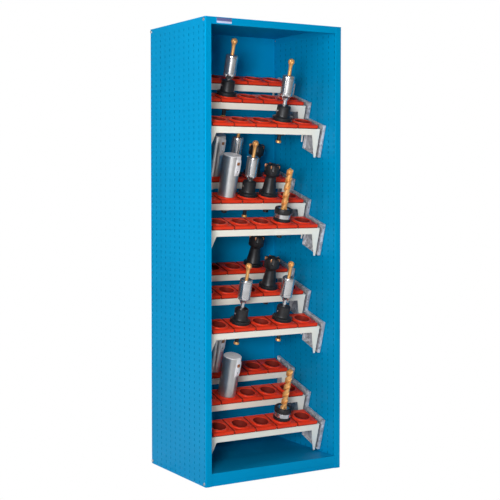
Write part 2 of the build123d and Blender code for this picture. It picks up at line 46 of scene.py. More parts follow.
def newFinish(name):
    finish = bpy.data.materials.new(name)
    finish.use_nodes = True
    tree = finish.node_tree
    tree.nodes.clear()
    output = tree.nodes.new("ShaderNodeOutputMaterial")
    shader = tree.nodes.new("ShaderNodeBsdfPrincipled")
    place = tree.nodes.new("ShaderNodeTexCoord")
    tree.links.new(shader.outputs["BSDF"], output.inputs["Surface"])
    return finish, tree, shader, place.outputs["Object"]


def stretched(tree, place, tilt, scale):
    mapping = tree.nodes.new("ShaderNodeMapping")
    mapping.inputs["Rotation"].default_value = (-tilt, 0, 0)
    mapping.inputs["Scale"].default_value = scale
    tree.links.new(place, mapping.inputs["Vector"])
    return mapping.outputs["Vector"]


def noise(tree, place, scale, detail=3.0):
    texture = tree.nodes.new("ShaderNodeTexNoise")
    texture.inputs["Scale"].default_value = scale
    texture.inputs["Detail"].default_value = detail
    tree.links.new(place, texture.inputs["Vector"])
    return texture.outputs["Fac"]


def between(tree, value, low, high, fromLow=0.3, fromHigh=0.7):
    spread = tree.nodes.new("ShaderNodeMapRange")
    spread.inputs["From Min"].default_value = fromLow
    spread.inputs["From Max"].default_value = fromHigh
    spread.inputs["To Min"].default_value = low
    spread.inputs["To Max"].default_value = high
    tree.links.new(value, spread.inputs["Value"])
    return spread.outputs["Result"]


def ramp(tree, value, stops):
    colours = tree.nodes.new("ShaderNodeValToRGB")
    bar = colours.color_ramp
    while len(bar.elements) < len(stops):
        bar.elements.new(0.5)
    for element, (where, colour) in zip(bar.elements, stops):
        element.position = where
        element.color = (*colour, 1)
    tree.links.new(value, colours.inputs["Fac"])
    return colours.outputs["Color"]


# Heights of the fine relief, in metres
relief = {"peel": 0.0006, "zinc": 0.0004, "turned": 0.0003, "film": 0.0002}


def bump(tree, shader, height, strength, distance):
    relief = tree.nodes.new("ShaderNodeBump")
    relief.inputs["Strength"].default_value = strength
    relief.inputs["Distance"].default_value = distance
    tree.links.new(height, relief.inputs["Height"])
    tree.links.new(relief.outputs["Normal"], shader.inputs["Normal"])


# Paint and plastic: an even colour with soft clouds in it and a fine orange peel
coats = {
    "blue": {"light": (0.0, 0.278, 0.552), "dark": (0.0, 0.262, 0.524), "clouds": 3.0,
             "gloss": (0.42, 0.52), "peel": 420.0, "depth": 0.10, "shine": 0.18, "tint": (0.0, 0.6, 1.0)},
    "cream": {"light": (0.89, 0.870, 0.780), "dark": (0.85, 0.830, 0.740), "clouds": 5.0,
              "gloss": (0.38, 0.50), "peel": 420.0, "depth": 0.10, "shine": 0.4, "tint": (1, 1, 1)},
    "insert": {"light": (0.82, 0.046, 0.014), "dark": (0.72, 0.034, 0.011), "clouds": 14.0,
               "gloss": (0.34, 0.46), "peel": 700.0, "depth": 0.12, "shine": 0.35, "tint": (1, 0.6, 0.5)},
    # the deeper red below is painted shade for the inserts' bores, the gaps between them and their foot
    "insertPaintedShade": {"light": (0.24, 0.020, 0.012), "dark": (0.18, 0.015, 0.010), "clouds": 14.0,
                   "gloss": (0.5, 0.6), "peel": 700.0, "depth": 0.12, "shine": 0.2, "tint": (1, 0.6, 0.5)},
    "core": {"light": (0.0, 0.070, 0.150), "dark": (0.0, 0.055, 0.120), "clouds": 3.0,
             "gloss": (0.6, 0.7), "peel": 420.0, "depth": 0.10, "shine": 0.1, "tint": (0.0, 0.6, 1.0)},
}


def coatFinish(name, coat):
    finish, tree, shader, place = newFinish(name)
    clouds = noise(tree, place, coat["clouds"])
    tint = ramp(tree, clouds, [(0.3, coat["dark"]), (0.7, coat["light"])])
    tree.links.new(tint, shader.inputs["Base Color"])
    peel = noise(tree, place, coat["peel"], 2.0)
    tree.links.new(between(tree, peel, *coat["gloss"]), shader.inputs["Roughness"])
    shader.inputs["Specular IOR Level"].default_value = coat["shine"]
    shader.inputs["Specular Tint"].default_value = (*coat["tint"], 1)
    bump(tree, shader, peel, coat["depth"], relief["peel"])
    return finish


# Galvanised sheet: zinc spangle, each flake with its own grey and its own gloss
spangle = {
    "flakes": 75.0, "light": (0.74, 0.74, 0.77), "dark": (0.32, 0.32, 0.35), "gloss": (0.40, 0.60),
    "metallic": 0.2, "grain": 260.0, "depth": 0.12,
}


def zincFinish(name):
    finish, tree, shader, place = newFinish(name)
    flakes = tree.nodes.new("ShaderNodeTexVoronoi")
    flakes.inputs["Scale"].default_value = spangle["flakes"]
    tree.links.new(place, flakes.inputs["Vector"])
    flake = tree.nodes.new("ShaderNodeSeparateColor")
    tree.links.new(flakes.outputs["Color"], flake.inputs["Color"])
    tint = ramp(tree, flake.outputs["Red"], [(0.0, spangle["dark"]), (1.0, spangle["light"])])
    tree.links.new(tint, shader.inputs["Base Color"])
    gloss = between(tree, flake.outputs["Green"], *spangle["gloss"], 0, 1)
    tree.links.new(gloss, shader.inputs["Roughness"])
    shader.inputs["Metallic"].default_value = spangle["metallic"]
    grain = noise(tree, place, spangle["grain"])
    bump(tree, shader, grain, spangle["depth"], relief["zinc"])
    return finish


# Machined metal: fine turning lines round the tilted tool, and a little wear in the colour
metals = {
    "black": {"light": (0.036, 0.037, 0.040), "dark": (0.014, 0.014, 0.016), "metallic": 0.45,
              "gloss": (0.34, 0.52), "lines": 900.0, "depth": 0.10},
    "chrome": {"light": (0.76, 0.76, 0.77), "dark": (0.60, 0.60, 0.61), "metallic": 0.92,
               "gloss": (0.16, 0.24), "lines": 1400.0, "depth": 0.03},
    "ground": {"light": (0.72, 0.72, 0.72), "dark": (0.60, 0.60, 0.60), "metallic": 0.93,
               "gloss": (0.28, 0.33), "lines": 1100.0, "depth": 0.025},
    # the near-white, hardly metallic steel below is the cartridges' light steel and also a painted highlight
    # on the bars' end faces
    "paleSteelAndPaintedHighlight": {"light": (0.96, 0.96, 0.98), "dark": (0.88, 0.88, 0.91), "metallic": 0.1,
               "gloss": (0.28, 0.40), "lines": 1100.0, "depth": 0.08},
    "gold": {"light": (0.92, 0.52, 0.20), "dark": (0.76, 0.34, 0.09), "metallic": 0.55,
             "gloss": (0.28, 0.42), "lines": 700.0, "depth": 0.05},
    "copper": {"light": (0.82, 0.36, 0.16), "dark": (0.52, 0.18, 0.07), "metallic": 0.7,
               "gloss": (0.25, 0.40), "lines": 600.0, "depth": 0.05},
    "bolt": {"light": (0.50, 0.51, 0.54), "dark": (0.34, 0.35, 0.38), "metallic": 0.9,
             "gloss": (0.28, 0.42), "lines": 500.0, "depth": 0.05},
}
turning = {"wear": 28.0, "stretch": (0.03, 0.03, 1)}
tilt = math.radians(17.0)


def metalFinish(name, metal, turnedBy=tilt):
    finish, tree, shader, place = newFinish(name)
    wear = noise(tree, place, turning["wear"])
    tint = ramp(tree, wear, [(0.3, metal["dark"]), (0.7, metal["light"])])
    tree.links.new(tint, shader.inputs["Base Color"])
    shader.inputs["Metallic"].default_value = metal["metallic"]
    lines = noise(tree, stretched(tree, place, turnedBy, turning["stretch"]), metal["lines"], 2.0)
    tree.links.new(between(tree, lines, *metal["gloss"]), shader.inputs["Roughness"])
    bump(tree, shader, lines, metal["depth"], relief["turned"])
    return finish


# Name plate: a bare dark band over a bare light one
plateBands = {
    "dark": (0.125, 0.130, 0.300), "light": (0.56, 0.60, 0.80), "edge": 1.9835, "fade": 0.0012,
    "grain": 900.0, "gloss": (0.22, 0.34), "depth": 0.05,
}


def plateFinish(name):
    finish, tree, shader, place = newFinish(name)
    split = tree.nodes.new("ShaderNodeSeparateXYZ")
    tree.links.new(place, split.inputs["Vector"])
    low, high = plateBands["edge"] - plateBands["fade"], plateBands["edge"] + plateBands["fade"]
    band = between(tree, split.outputs["Z"], 0, 1, low, high)
    tint = ramp(tree, band, [(0.0, plateBands["light"]), (1.0, plateBands["dark"])])
    tree.links.new(tint, shader.inputs["Base Color"])
    grain = noise(tree, place, plateBands["grain"])
    tree.links.new(between(tree, grain, *plateBands["gloss"]), shader.inputs["Roughness"])
    bump(tree, shader, grain, plateBands["depth"], relief["film"])
    return finish


bluePaint = coatFinish("bluePaint", coats["blue"])
creamPaint = coatFinish("creamPaint", coats["cream"])
redPlastic = coatFinish("redPlastic", coats["insert"])
redPlasticPaintedShade = coatFinish("redPlasticPaintedShade", coats["insertPaintedShade"])
coreSheet = coatFinish("coreSheet", coats["core"])
zincSheet = zincFinish("zincSheet")
blackOxide = metalFinish("blackOxide", metals["black"])
polishedChrome = metalFinish("polishedChrome", metals["chrome"])
groundSteel = metalFinish("groundSteel", metals["ground"])
lightSteelAndPaintedHighlight = metalFinish("lightSteelAndPaintedHighlight", metals["paleSteelAndPaintedHighlight"])
goldCoat = metalFinish("goldCoat", metals["gold"])
copperCarbide = metalFinish("copperCarbide", metals["copper"])
zincBolt = metalFinish("zincBolt", metals["bolt"], 0)
plateFilm = plateFinish("plateFilm")
print("finishes made:", len(bpy.data.materials))


# The cabinet's own nodes keep their shape and get their finish

def dress(node, finish):
    mesh = nodes[node].data
    mesh.materials.clear()
    mesh.materials.append(finish)


blueNodes = ["left_outer_skin", "right_outer_skin", "left_liner", "right_liner",
             "corner_posts", "back_panel", "roof_panel", "floor_panel"]
for node in blueNodes:
    dress(node, bluePaint)
dress("wall_cores", coreSheet)
for unit in units:
    for row in rows:
        dress(f"unit_{unit}_{row}_shelf", creamPaint)
dress("shelf_bolts", zincBolt)
dress("corner_bolts", zincBolt)
print("cabinet dressed")


# Modelling helpers, with sizes in millimetres. Small steps in the outlines are broken edges

def startMesh():
    bpy.ops.object.select_all(action="DESELECT")


def ownName(name, finish):
    piece = bpy.context.object
    piece.name = name
    bpy.ops.object.transform_apply(location=True, rotation=True, scale=True)
    piece.data.materials.append(finish)
    return piece


def onlySelect(piece):
    bpy.ops.object.select_all(action="DESELECT")
    piece.select_set(True)
    bpy.context.view_layer.objects.active = piece


def pickFaces(piece, wanted):
    # edit mode with only the wanted faces selected
    onlySelect(piece)
    bpy.ops.object.mode_set(mode="EDIT")
    bpy.ops.mesh.select_all(action="DESELECT")
    bpy.ops.object.mode_set(mode="OBJECT")
    for face in piece.data.polygons:
        face.select = wanted(face)
    bpy.ops.object.mode_set(mode="EDIT")


def pickEdges(piece, wanted):
    # edit mode with only the wanted edges selected, told by their two ends
    onlySelect(piece)
    bpy.ops.object.mode_set(mode="EDIT")
    bpy.ops.mesh.select_all(action="DESELECT")
    bpy.ops.object.mode_set(mode="OBJECT")
    for edge in piece.data.edges:
        a, b = (piece.data.vertices[i].co for i in edge.vertices)
        edge.select = wanted(a, b)
    bpy.ops.object.mode_set(mode="EDIT")


def turnPiece(name, finish, outline, sides=48):
    # a round piece, made ring by ring up its own axis
    startMesh()
    radius, height = outline[0]
    bpy.ops.mesh.primitive_circle_add(vertices=sides, radius=radius * mm, fill_type="NGON",
                                      location=(0, 0, height * mm))
    piece = ownName(name, finish)
    bpy.ops.object.mode_set(mode="EDIT")
    bpy.ops.mesh.select_all(action="SELECT")
    for nextRadius, nextHeight in outline[1:]:
        step = (0, 0, (nextHeight - height) * mm)
        bpy.ops.mesh.extrude_region_move(TRANSFORM_OT_translate={"value": step})
        wider = nextRadius / radius
        bpy.ops.transform.resize(value=(wider, wider, 1), center_override=(0, 0, nextHeight * mm))
        radius, height = nextRadius, nextHeight
    bpy.ops.mesh.select_all(action="SELECT")
    bpy.ops.mesh.normals_make_consistent(inside=False)
    bpy.ops.object.mode_set(mode="OBJECT")
    return piece


def blockPiece(name, finish, low, high, edge=0.0, steps=2):
    # a block between two corners, its edges rounded in edit mode
    startMesh()
    size = [(b - a) * mm for a, b in zip(low, high)]
    middle = [(a + b) / 2 * mm for a, b in zip(low, high)]
    bpy.ops.mesh.primitive_cube_add(size=1, location=middle, scale=size)
    piece = ownName(name, finish)
    if edge:
        bpy.ops.object.mode_set(mode="EDIT")
        bpy.ops.mesh.select_all(action="SELECT")
        bpy.ops.mesh.bevel(offset=edge * mm, segments=steps, affect="EDGES")
        bpy.ops.object.mode_set(mode="OBJECT")
    return piece


def sideBlock(name, finish, side, inner, outer, low, high):
    # a block on one side of the middle plane, low and high being its depths and heights
    near, far = sorted((side * inner, side * outer))
    return blockPiece(name, finish, (near, *low), (far, *high))


def shift(piece, place):
    piece.data.transform(place)
    return piece


def flatPiece(name, finish, outline, thick):
    # a flat sheet on the plane x = 0: its outline drawn out of a single point, then pulled along x
    startMesh()
    bpy.ops.mesh.primitive_plane_add(size=1)
    piece = ownName(name, finish)
    bpy.ops.object.mode_set(mode="EDIT")
    bpy.ops.mesh.select_all(action="SELECT")
    bpy.ops.mesh.merge(type="CENTER")
    bpy.ops.transform.translate(value=Vector((0, *outline[0])) * mm)
    previous = outline[0]
    for corner in outline[1:]:
        step = (0, (corner[0] - previous[0]) * mm, (corner[1] - previous[1]) * mm)
        bpy.ops.mesh.extrude_region_move(TRANSFORM_OT_translate={"value": step})
        previous = corner
    bpy.ops.mesh.select_all(action="SELECT")
    bpy.ops.mesh.edge_face_add()
    bpy.ops.mesh.extrude_region_move(TRANSFORM_OT_translate={"value": (thick * mm, 0, 0)})
    bpy.ops.mesh.select_all(action="SELECT")
    bpy.ops.mesh.normals_make_consistent(inside=False)
    bpy.ops.object.mode_set(mode="OBJECT")
    return piece


def combine(piece, other, how):
    onlySelect(piece)
    step = piece.modifiers.new("combine", "BOOLEAN")
    step.operation = how
    step.object = other
    step.solver = "EXACT"
    bpy.ops.object.modifier_apply(modifier=step.name)
    bpy.data.objects.remove(other)
    return piece


def roundEdges(piece, width, steps=2, sharper=32):
    onlySelect(piece)
    step = piece.modifiers.new("roundEdges", "BEVEL")
    step.width = width * mm
    step.segments = steps
    step.limit_method = "ANGLE"
    step.angle_limit = math.radians(sharper)
    step.use_clamp_overlap = True
    bpy.ops.object.modifier_apply(modifier=step.name)
    return piece


def smooth(piece, sharper=35):
    onlySelect(piece)
    bpy.ops.object.shade_smooth_by_angle(angle=math.radians(sharper))
    return piece


def join(name, parts):
    bpy.ops.object.select_all(action="DESELECT")
    for part in parts:
        part.select_set(True)
    bpy.context.view_layer.objects.active = parts[0]
    bpy.ops.object.join()
    parts[0].name = name
    return parts[0]


def copyTo(source, name, place):
    piece = source.copy()
    piece.data = source.data.copy()
    piece.data.transform(place)
    piece.name = name
    bpy.context.scene.collection.objects.link(piece)
    return piece


def arc(centre, radius, start, end, steps):
    # radius and height pairs along an arc, angles in degrees from the outward direction
    points = []
    for i in range(steps + 1):
        angle = math.radians(start + (end - start) * i / steps)
        points.append((centre[0] + radius * math.cos(angle), centre[1] + radius * math.sin(angle)))
    return points


def groove(radius, low, wide, deep, slope=None):
    # outline of a groove with sloping sides
    slope = deep if slope is None else slope
    high, bottom = low + wide, radius - deep
    return [(radius, low), (bottom, low + slope), (bottom, high - slope), (radius, high)]


def turned(angle, axis="Z"):
    return Matrix.Rotation(math.radians(angle), 4, axis)


def placed(x, y, z):
    return Matrix.Translation(Vector((x, y, z)) * mm)


# Places of the tiers, the shelves and the sockets
rack = {
    "lowest": 209.0, "pitch": 450.0, "front": -190.0,
    "run": {"front": 0.0, "middle": 145.0, "rear": 303.0},
    "rise": {"front": 0.0, "middle": 73.0, "rear": 124.0},
    "columns": 5, "socketPitch": 110.5, "setIn": 56.0, "ring": 6.0, "raisedUnit": 3, "raised": 25.0,
}
middleColumn = (rack["columns"] + 1) // 2


def tierHeight(unit):
    return rack["lowest"] + (units[-1] - unit) * rack["pitch"]


def raisedBy(unit):
    # the middle and rear shelves of one unit hang one row of slots higher
    return rack["raised"] if unit == rack["raisedUnit"] else 0.0


def socketPlace(unit, row, column, up=0.0):
    raised = 0.0 if row == rows[0] else raisedBy(unit)
    corner = placed(0, rack["front"], tierHeight(unit) + raised)
    across = (column - middleColumn) * rack["socketPitch"]
    step = placed(across, rack["run"][row] + rack["setIn"], rack["rise"][row] + up)
    return corner @ Matrix.Rotation(tilt, 4, "X") @ step


# Stepped brackets: a web with a lip all round and hooks in the liner's slots
bracketSize = {
    "outside": 316.0, "lip": 14.0, "sheet": 2.0, "edge": 0.5, "height": 150.0, "heelHeight": 143.0,
    "depth": 138.0, "rear": 390.0, "hookAt": (-112.5, 22.5, 157.5), "hookBelow": 30.0, "hookThick": 3.0,
    "hookReach": 324.2, "hookTongue": 10.0, "hookDrop": 8.0, "slotStart": 12.5, "slotPitch": 25.0,
    "slotHeight": 12.0,
}


def tierPoint(run, rise):
    return run * math.cos(tilt) - rise * math.sin(tilt), run * math.sin(tilt) + rise * math.cos(tilt)


def alongTilt(corner, y):
    # height of the tilted line through a corner, at another depth
    return corner[1] + (y - corner[0]) * math.tan(tilt)


def bracketSteps(unit):
    # run and rise of each shelf's front corner, along the tilt
    steps = [(0.0, 0.0)]
    for row in rows[1:]:
        run = rack["run"][row] + raisedBy(unit) * math.sin(tilt)
        rise = rack["rise"][row] + raisedBy(unit) * math.cos(tilt)
        steps.append((run, rise))
    return steps


def bracketOutline(unit):
    b = bracketSize
    steps = bracketSteps(unit)
    points = [tierPoint(0, 0)]
    for (run, rise), (nextRun, nextRise) in zip(steps, steps[1:]):
        points += [tierPoint(nextRun, rise), tierPoint(nextRun, nextRise)]
    points.append((b["rear"], alongTilt(points[-1], b["rear"])))
    below = [(run, rise - b["height"]) for run, rise in steps]
    heel = tierPoint(below[1][0] + b["depth"], below[2][1])
    points.append((b["rear"], alongTilt(heel, b["rear"])))
    points.append(heel)
    points.append(tierPoint(below[1][0] + b["depth"], below[1][1]))
    points.append(tierPoint(b["depth"], below[1][1]))
    points.append(tierPoint(b["depth"], -b["heelHeight"]))
    points.append(tierPoint(0, -b["height"]))
    return points


def bracketTop(unit, y):
    height = alongTilt((0, 0), y)
    for run, rise in bracketSteps(unit)[1:]:
        corner = tierPoint(run, rise)
        if y > corner[0] + bracketSize["sheet"]:
            height = alongTilt(corner, y)
    return height


def bracketHook(unit, side, y):
    b = bracketSize
    top = tierHeight(unit) + bracketTop(unit, y - rack["front"]) - b["hookBelow"]
    row = math.floor((top - b["slotStart"]) / b["slotPitch"])
    seat = b["slotStart"] + row * b["slotPitch"] - b["slotHeight"] / 2
    half = b["hookThick"] / 2
    tongue = sideBlock("hookModel", zincSheet, side, b["outside"] - b["sheet"], b["hookReach"],
                       (y - half, seat), (y + half, seat + b["hookTongue"]))
    drop = sideBlock("dropModel", zincSheet, side, b["hookReach"] - b["hookThick"], b["hookReach"],
                     (y - half, seat - b["hookDrop"]), (y + half, seat + 1))
    return combine(tongue, drop, "UNION")


def bracketPiece(unit, side):
    b = bracketSize
    web = flatPiece("bracketModel", zincSheet, bracketOutline(unit), -side * b["lip"])
    pickFaces(web, lambda face: side * face.normal.x < -0.9)
    bpy.ops.mesh.inset(thickness=b["sheet"] * mm, depth=0)
    inwards = side * (b["lip"] - b["sheet"]) * mm
    bpy.ops.mesh.extrude_region_move(TRANSFORM_OT_translate={"value": (inwards, 0, 0)})
    bpy.ops.object.mode_set(mode="OBJECT")
    shift(web, placed(side * b["outside"], rack["front"], tierHeight(unit)))
    roundEdges(web, b["edge"], 1)
    hooks = [bracketHook(unit, side, y) for y in b["hookAt"]]
    return smooth(join("bracketModel", [web] + hooks))


for unit in units:
    for side, word in ((-1, "left"), (1, "right")):
        bracket = bracketPiece(unit, side)
        bracket.name = f"unit{unit}{word.capitalize()}Bracket"
        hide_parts(f"unit_{unit}_{word}_bracket")
        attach(bracket, "cabinet")
print("brackets made")


# Tips of the shelves' rear legs, below their tapered sheets
legTip = {
    "end": 288.0, "wide": 12.0, "narrow": 6.0, "near": 126.3, "far": 128.15, "top": -60.0, "foot": -111.0,
}


def rearLegTip(side):
    t = legTip
    inner = t["end"] - t["wide"]
    low, high = (t["near"], t["foot"]), (t["far"], t["top"])
    tip = sideBlock("tipModel", creamPaint, side, inner, t["end"], low, high)
    for corner in tip.data.vertices:
        if corner.co.z < (t["foot"] + 1) * mm and abs(corner.co.x) < (inner + 1) * mm:
            corner.co.x = side * (t["end"] - t["narrow"]) * mm
    return tip


for unit in units:
    tips = []
    for row in rows:
        shelfPlace = socketPlace(unit, row, middleColumn) @ placed(0, -rack["setIn"], 0)
        tips += [shift(rearLegTip(side), shelfPlace) for side in (-1, 1)]
    legTips = join(f"unit{unit}RearLegTips", tips)
    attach(legTips, "cabinet")
print("leg tips made")


# Weld beads down the rear corners, where the back panel meets the posts
weld = {"radius": 1.2, "across": 319.6, "back": 258.8, "foot": 57.0, "top": 1998.7}
beads = []
for side in (-1, 1):
    ends = [(weld["radius"], weld["foot"]), (weld["radius"], weld["top"])]
    bead = turnPiece("beadModel", bluePaint, ends, 12)
    beads.append(shift(bead, placed(side * weld["across"], weld["back"], 0)))
weldBeads = smooth(join("weldBeads", beads), 50)
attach(weldBeads, "cabinet")
print("weld beads made")


# Socket inserts: a square top with cut corners, a raised ring, a collar and a pip
insertSize = {
    "half": 54.85, "front": -56.0, "depth": 124.0, "thick": 17.0, "cornerCut": 3.5,
    "margin": 1.6, "edge": 0.6, "edgeSlope": 0.8, "foot": 5.0,
    "ring": 46.0, "ringHeight": 6.0, "skirt": 3.0, "lip": 2.0, "bore": 35.325,
    "collar": 40.0, "collarLength": 23.0, "sides": 64, "pip": 2.5, "pipSetIn": 9.0, "pipFoot": 0.6,
}


def socketInsert():
    s = insertSize
    low = (-s["half"], s["front"], -s["thick"])
    high = (s["half"], s["front"] + s["depth"], 0)
    top = blockPiece("insertModel", redPlastic, low, high)
    pickEdges(top, lambda a, b: abs(a.z - b.z) > mm)
    bpy.ops.mesh.bevel(offset=s["cornerCut"] * mm, segments=1, affect="EDGES")
    bpy.ops.object.mode_set(mode="OBJECT")
    pickFaces(top, lambda face: face.normal.z > 0.9)
    bpy.ops.mesh.inset(thickness=s["margin"] * mm, depth=0)
    bpy.ops.mesh.inset(thickness=s["edge"] * mm, depth=s["edge"] * s["edgeSlope"] * mm)
    bpy.ops.mesh.select_all(action="SELECT")
    # the cut at the foot line sets off the lowest strip, which gets painted shade
    footLine = s["foot"] - s["thick"]
    bpy.ops.mesh.bisect(plane_co=(0, 0, footLine * mm), plane_no=(0, 0, 1))
    bpy.ops.object.mode_set(mode="OBJECT")
    rim, lip = s["ringHeight"], s["lip"]
    collarEnd = -s["thick"] - s["collarLength"]
    skirt = s["ring"] + s["skirt"]
    ring = turnPiece("ringModel", redPlastic, [
        (s["collar"], collarEnd), (s["collar"], -s["skirt"]),
        (skirt, -s["skirt"]), (skirt, 0.8), (s["ring"] + 1.5, 1.3), (s["ring"] + 0.5, 2.4),
    ] + arc((s["ring"] - lip, rim - lip), lip, 0, 90, 4) + [(s["bore"] + 1, rim)], s["sides"])
    combine(top, ring, "UNION")
    bore = turnPiece("boreModel", redPlastic, [
        (s["bore"], collarEnd - 5), (s["bore"], rim - lip), (s["bore"] + 0.6, rim - 0.6),
        (s["bore"] + lip, rim + 0.01), (s["bore"] + lip, rim + 5),
    ], s["sides"])
    combine(top, bore, "DIFFERENCE")
    pip = turnPiece("pipModel", redPlastic, [(s["pip"], -1), (s["pip"], 0.9), (s["pip"] - 0.5, 1.4)], 16)
    combine(top, shift(pip, placed(0, s["front"] + s["pipSetIn"], s["pipFoot"])), "UNION")
    # the bore, the gap to the next insert and the foot get a deeper red: painted shade for the shadow inside
    # the bore, in the gaps and along the foot
    top.data.materials.append(redPlasticPaintedShade)
    for face in top.data.polygons:
        x, y, z = face.center / mm
        upright = abs(face.normal.z) < 0.5
        inBore = upright and math.hypot(x, y) < s["bore"] + 1.2 and z < rim - 1.5
        inGap = abs(x) > s["half"] - s["margin"] - s["edge"]
        if inBore or inGap or z < footLine:
            face.material_index = 1
    return smooth(top)


insertModel = socketInsert()
for unit in units:
    copies = []
    for row in rows:
        for column in range(1, rack["columns"] + 1):
            copies.append(copyTo(insertModel, "insertCopy", socketPlace(unit, row, column)))
    tray = join(f"unit{unit}Inserts", copies)
    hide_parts(f"unit_{unit}_inserts")
    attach(tray, "cabinet")
bpy.data.objects.remove(insertModel)
print("inserts made")


# Tool holders. Each model stands on the socket's ring, with its axis along Z
taper = {"gauge": 34.925, "length": 66.0, "slope": 7.0 / 48.0, "seat": 0.3, "neck": 9.0}
pullStud = {
    "head": 12.5,
    "long": {"hang": 29.0, "length": 39.0, "height": 10.0},
    "short": {"hang": 12.0, "length": 16.0, "height": 12.0},
}
flangeSize = {"height": 16.0, "groove": 4.0, "grooveWide": 8.0, "grooveDeep": 4.0, "grooveSlope": 2.2}
driveSlot = {"wide": 16.0, "deep": 7.0, "reach": 5.0, "low": -1.0, "high": 17.0}


def taperOutline(stud):
    # the lower end of a holder without its pull stud, from the bottom to the flange
    neck = taper["neck"]
    small = taper["gauge"] - taper["length"] * taper["slope"]
    low = taper["seat"] - taper["length"]
    end = low - pullStud[stud]["hang"]
    return [
        (neck - 1, end), (neck, end + 1), (neck, low - 1), (neck + 2, low), (small - 1.5, low),
        (small, low + 1.5), (taper["gauge"], taper["seat"]),
    ]


def studPiece(finish, stud):
    # the pull stud's mushroom head at the very end
    head, height = pullStud["head"], pullStud[stud]["height"]
    tip = taper["seat"] - taper["length"] - pullStud[stud]["length"]
    outline = [(head - 3, tip), (head - 1.2, tip + 0.6), (head, tip + 2), (head, tip + height - 2),
               (head - 1, tip + height), (taper["neck"] - 1, tip + height + 3)]
    return smooth(turnPiece("studModel", finish, outline, 32))


def flangeOutline(radius):
    f = flangeSize
    seat, top = taper["seat"], f["height"]
    ring = groove(radius, f["groove"], f["grooveWide"], f["grooveDeep"], f["grooveSlope"])
    return [(radius - 1, seat), (radius, seat + 1)] + ring + [(radius, top - 1), (radius - 1, top)]


def driveSlots(piece, radius):
    d = driveSlot
    for side in (-1, 1):
        slot = sideBlock("slotModel", piece.data.materials[0], side, radius - d["deep"], radius + d["reach"],
                         (-d["wide"] / 2, d["low"]), (d["wide"] / 2, d["high"]))
        combine(piece, slot, "DIFFERENCE")
    return piece


def setScrew(name, finish, radius, depth, proud):
    # a short screw with a hexagon socket, pointing along Z, its outer end at proud
    screw = turnPiece(name, finish, [(radius, -depth), (radius, proud - 0.8), (radius - 0.8, proud)], 24)
    socket = turnPiece("socketModel", finish, [(radius * 0.5, proud - 2.5), (radius * 0.5, proud + 2)], 6)
    return smooth(combine(screw, socket, "DIFFERENCE"))


# Ball mills
ballMill = {
    "flange": 46.0, "neck": 31.0, "fillet": 9.0, "neckTop": 68.0, "groove": 58.0, "spindle": 9.0,
    "chuck": 28.0, "chuckLength": 90.0, "notches": 6, "notchWide": 7.0,
    "reach": {"front": 138.0, "middle": 115.0, "rear": 115.0},
    "shank": 7.5, "ball": 14.5, "ballHeight": 60.0, "fluteTurn": 1.6, "fluteDeep": 0.34,
    "screw": 5.0, "screwHeight": 44.0, "sides": 56,
}
millScrewPlace = placed(-ballMill["neck"], 0, ballMill["screwHeight"]) @ turned(-90, "Y")


def millHolder():
    m = ballMill
    neck, top = m["neck"], m["neckTop"]
    fillet = arc((neck + m["fillet"], flangeSize["height"] + m["fillet"]), m["fillet"], 270, 180, 5)
    outline = taperOutline("long") + flangeOutline(m["flange"]) + fillet
    outline += groove(neck, m["groove"], 3.0, 0.6)
    outline += [(neck, top - 4), (neck - 4, top), (m["spindle"] + 6, top), (m["spindle"] + 4, top - 2),
                (m["spindle"] - 1, top - 2)]
    holder = turnPiece("holderModel", blackOxide, outline, m["sides"])
    driveSlots(holder, m["flange"])
    hole = turnPiece("holeModel", blackOxide, [(m["screw"], -6), (m["screw"], 3), (m["screw"] + 2, 5)], 24)
    return smooth(combine(holder, shift(hole, millScrewPlace), "DIFFERENCE"))


def millScrew():
    return shift(setScrew("screwModel", polishedChrome, ballMill["screw"] - 0.1, 6, 0.8), millScrewPlace)


def millChuck(reach):
    m = ballMill
    rim = m["neckTop"] + reach
    cone = rim - m["chuckLength"]
    outer, spindle = m["chuck"], m["spindle"]
    outline = [(spindle, m["neckTop"] - 2), (spindle, cone - 24), (spindle + 4, cone - 22),
               (spindle + 5, cone - 16), (outer - 6, cone - 5), (outer - 1, cone - 2), (outer, cone)]
    outline += groove(outer, cone + 10, 3.4, 0.8) + groove(outer, rim - 14, 3.0, 0.8)
    outline += [(outer, rim - 5), (outer - 1, rim - 3), (outer - 5, rim), (m["shank"] + 6, rim),
                (m["shank"] + 4.5, rim - 2), (m["shank"] - 1, rim - 2)]
    chuck = turnPiece("chuckModel", polishedChrome, outline, m["sides"])
    half = m["notchWide"] / 2
    for i in range(m["notches"]):
        low, high = (outer - 7, -half, cone - 12), (outer + 4, half, cone + 4)
        notch = blockPiece("notchModel", polishedChrome, low, high)
        combine(chuck, shift(notch, turned(30 + 360 / m["notches"] * i)), "DIFFERENCE")
    return smooth(chuck)


def millCutter(reach):
    m = ballMill
    shank, ball = m["shank"], m["ball"]
    rim = m["neckTop"] + reach
    centre = rim + m["ballHeight"]
    waist = math.degrees(math.asin(shank / ball)) - 78
    outline = [(shank, rim - 2), (shank, rim + 20), (shank, centre - ball - 8)]
    outline += arc((0, centre), ball, waist, 86, 20)
    cutter = turnPiece("cutterModel", goldCoat, outline)
    # two flutes wind round the ball
    for corner in cutter.data.vertices:
        above = (corner.co.z / mm - (centre - ball)) / (2 * ball)
        if above < 0:
            continue
        turn = math.atan2(corner.co.y, corner.co.x) - m["fluteTurn"] * above
        flute = max(0.0, math.cos(2 * turn)) ** 6 * min(1.0, above * 5) * m["fluteDeep"]
        corner.co.x *= 1 - flute
        corner.co.y *= 1 - flute
    return smooth(cutter, 50)


# Boring bars
boringBar = {
    "radius": 41.0, "height": 190.0, "edge": 1.5, "mark": 4.0, "direction": -70.0, "width": 28.0,
    "depth": 14.0, "length": 88.0, "play": 0.4, "proud": 4.0, "slope": 20.0, "bevel": 0.8,
    "plate": 13.0, "plateThick": 5.0, "hole": 3.6, "holeTop": 5.4,
}


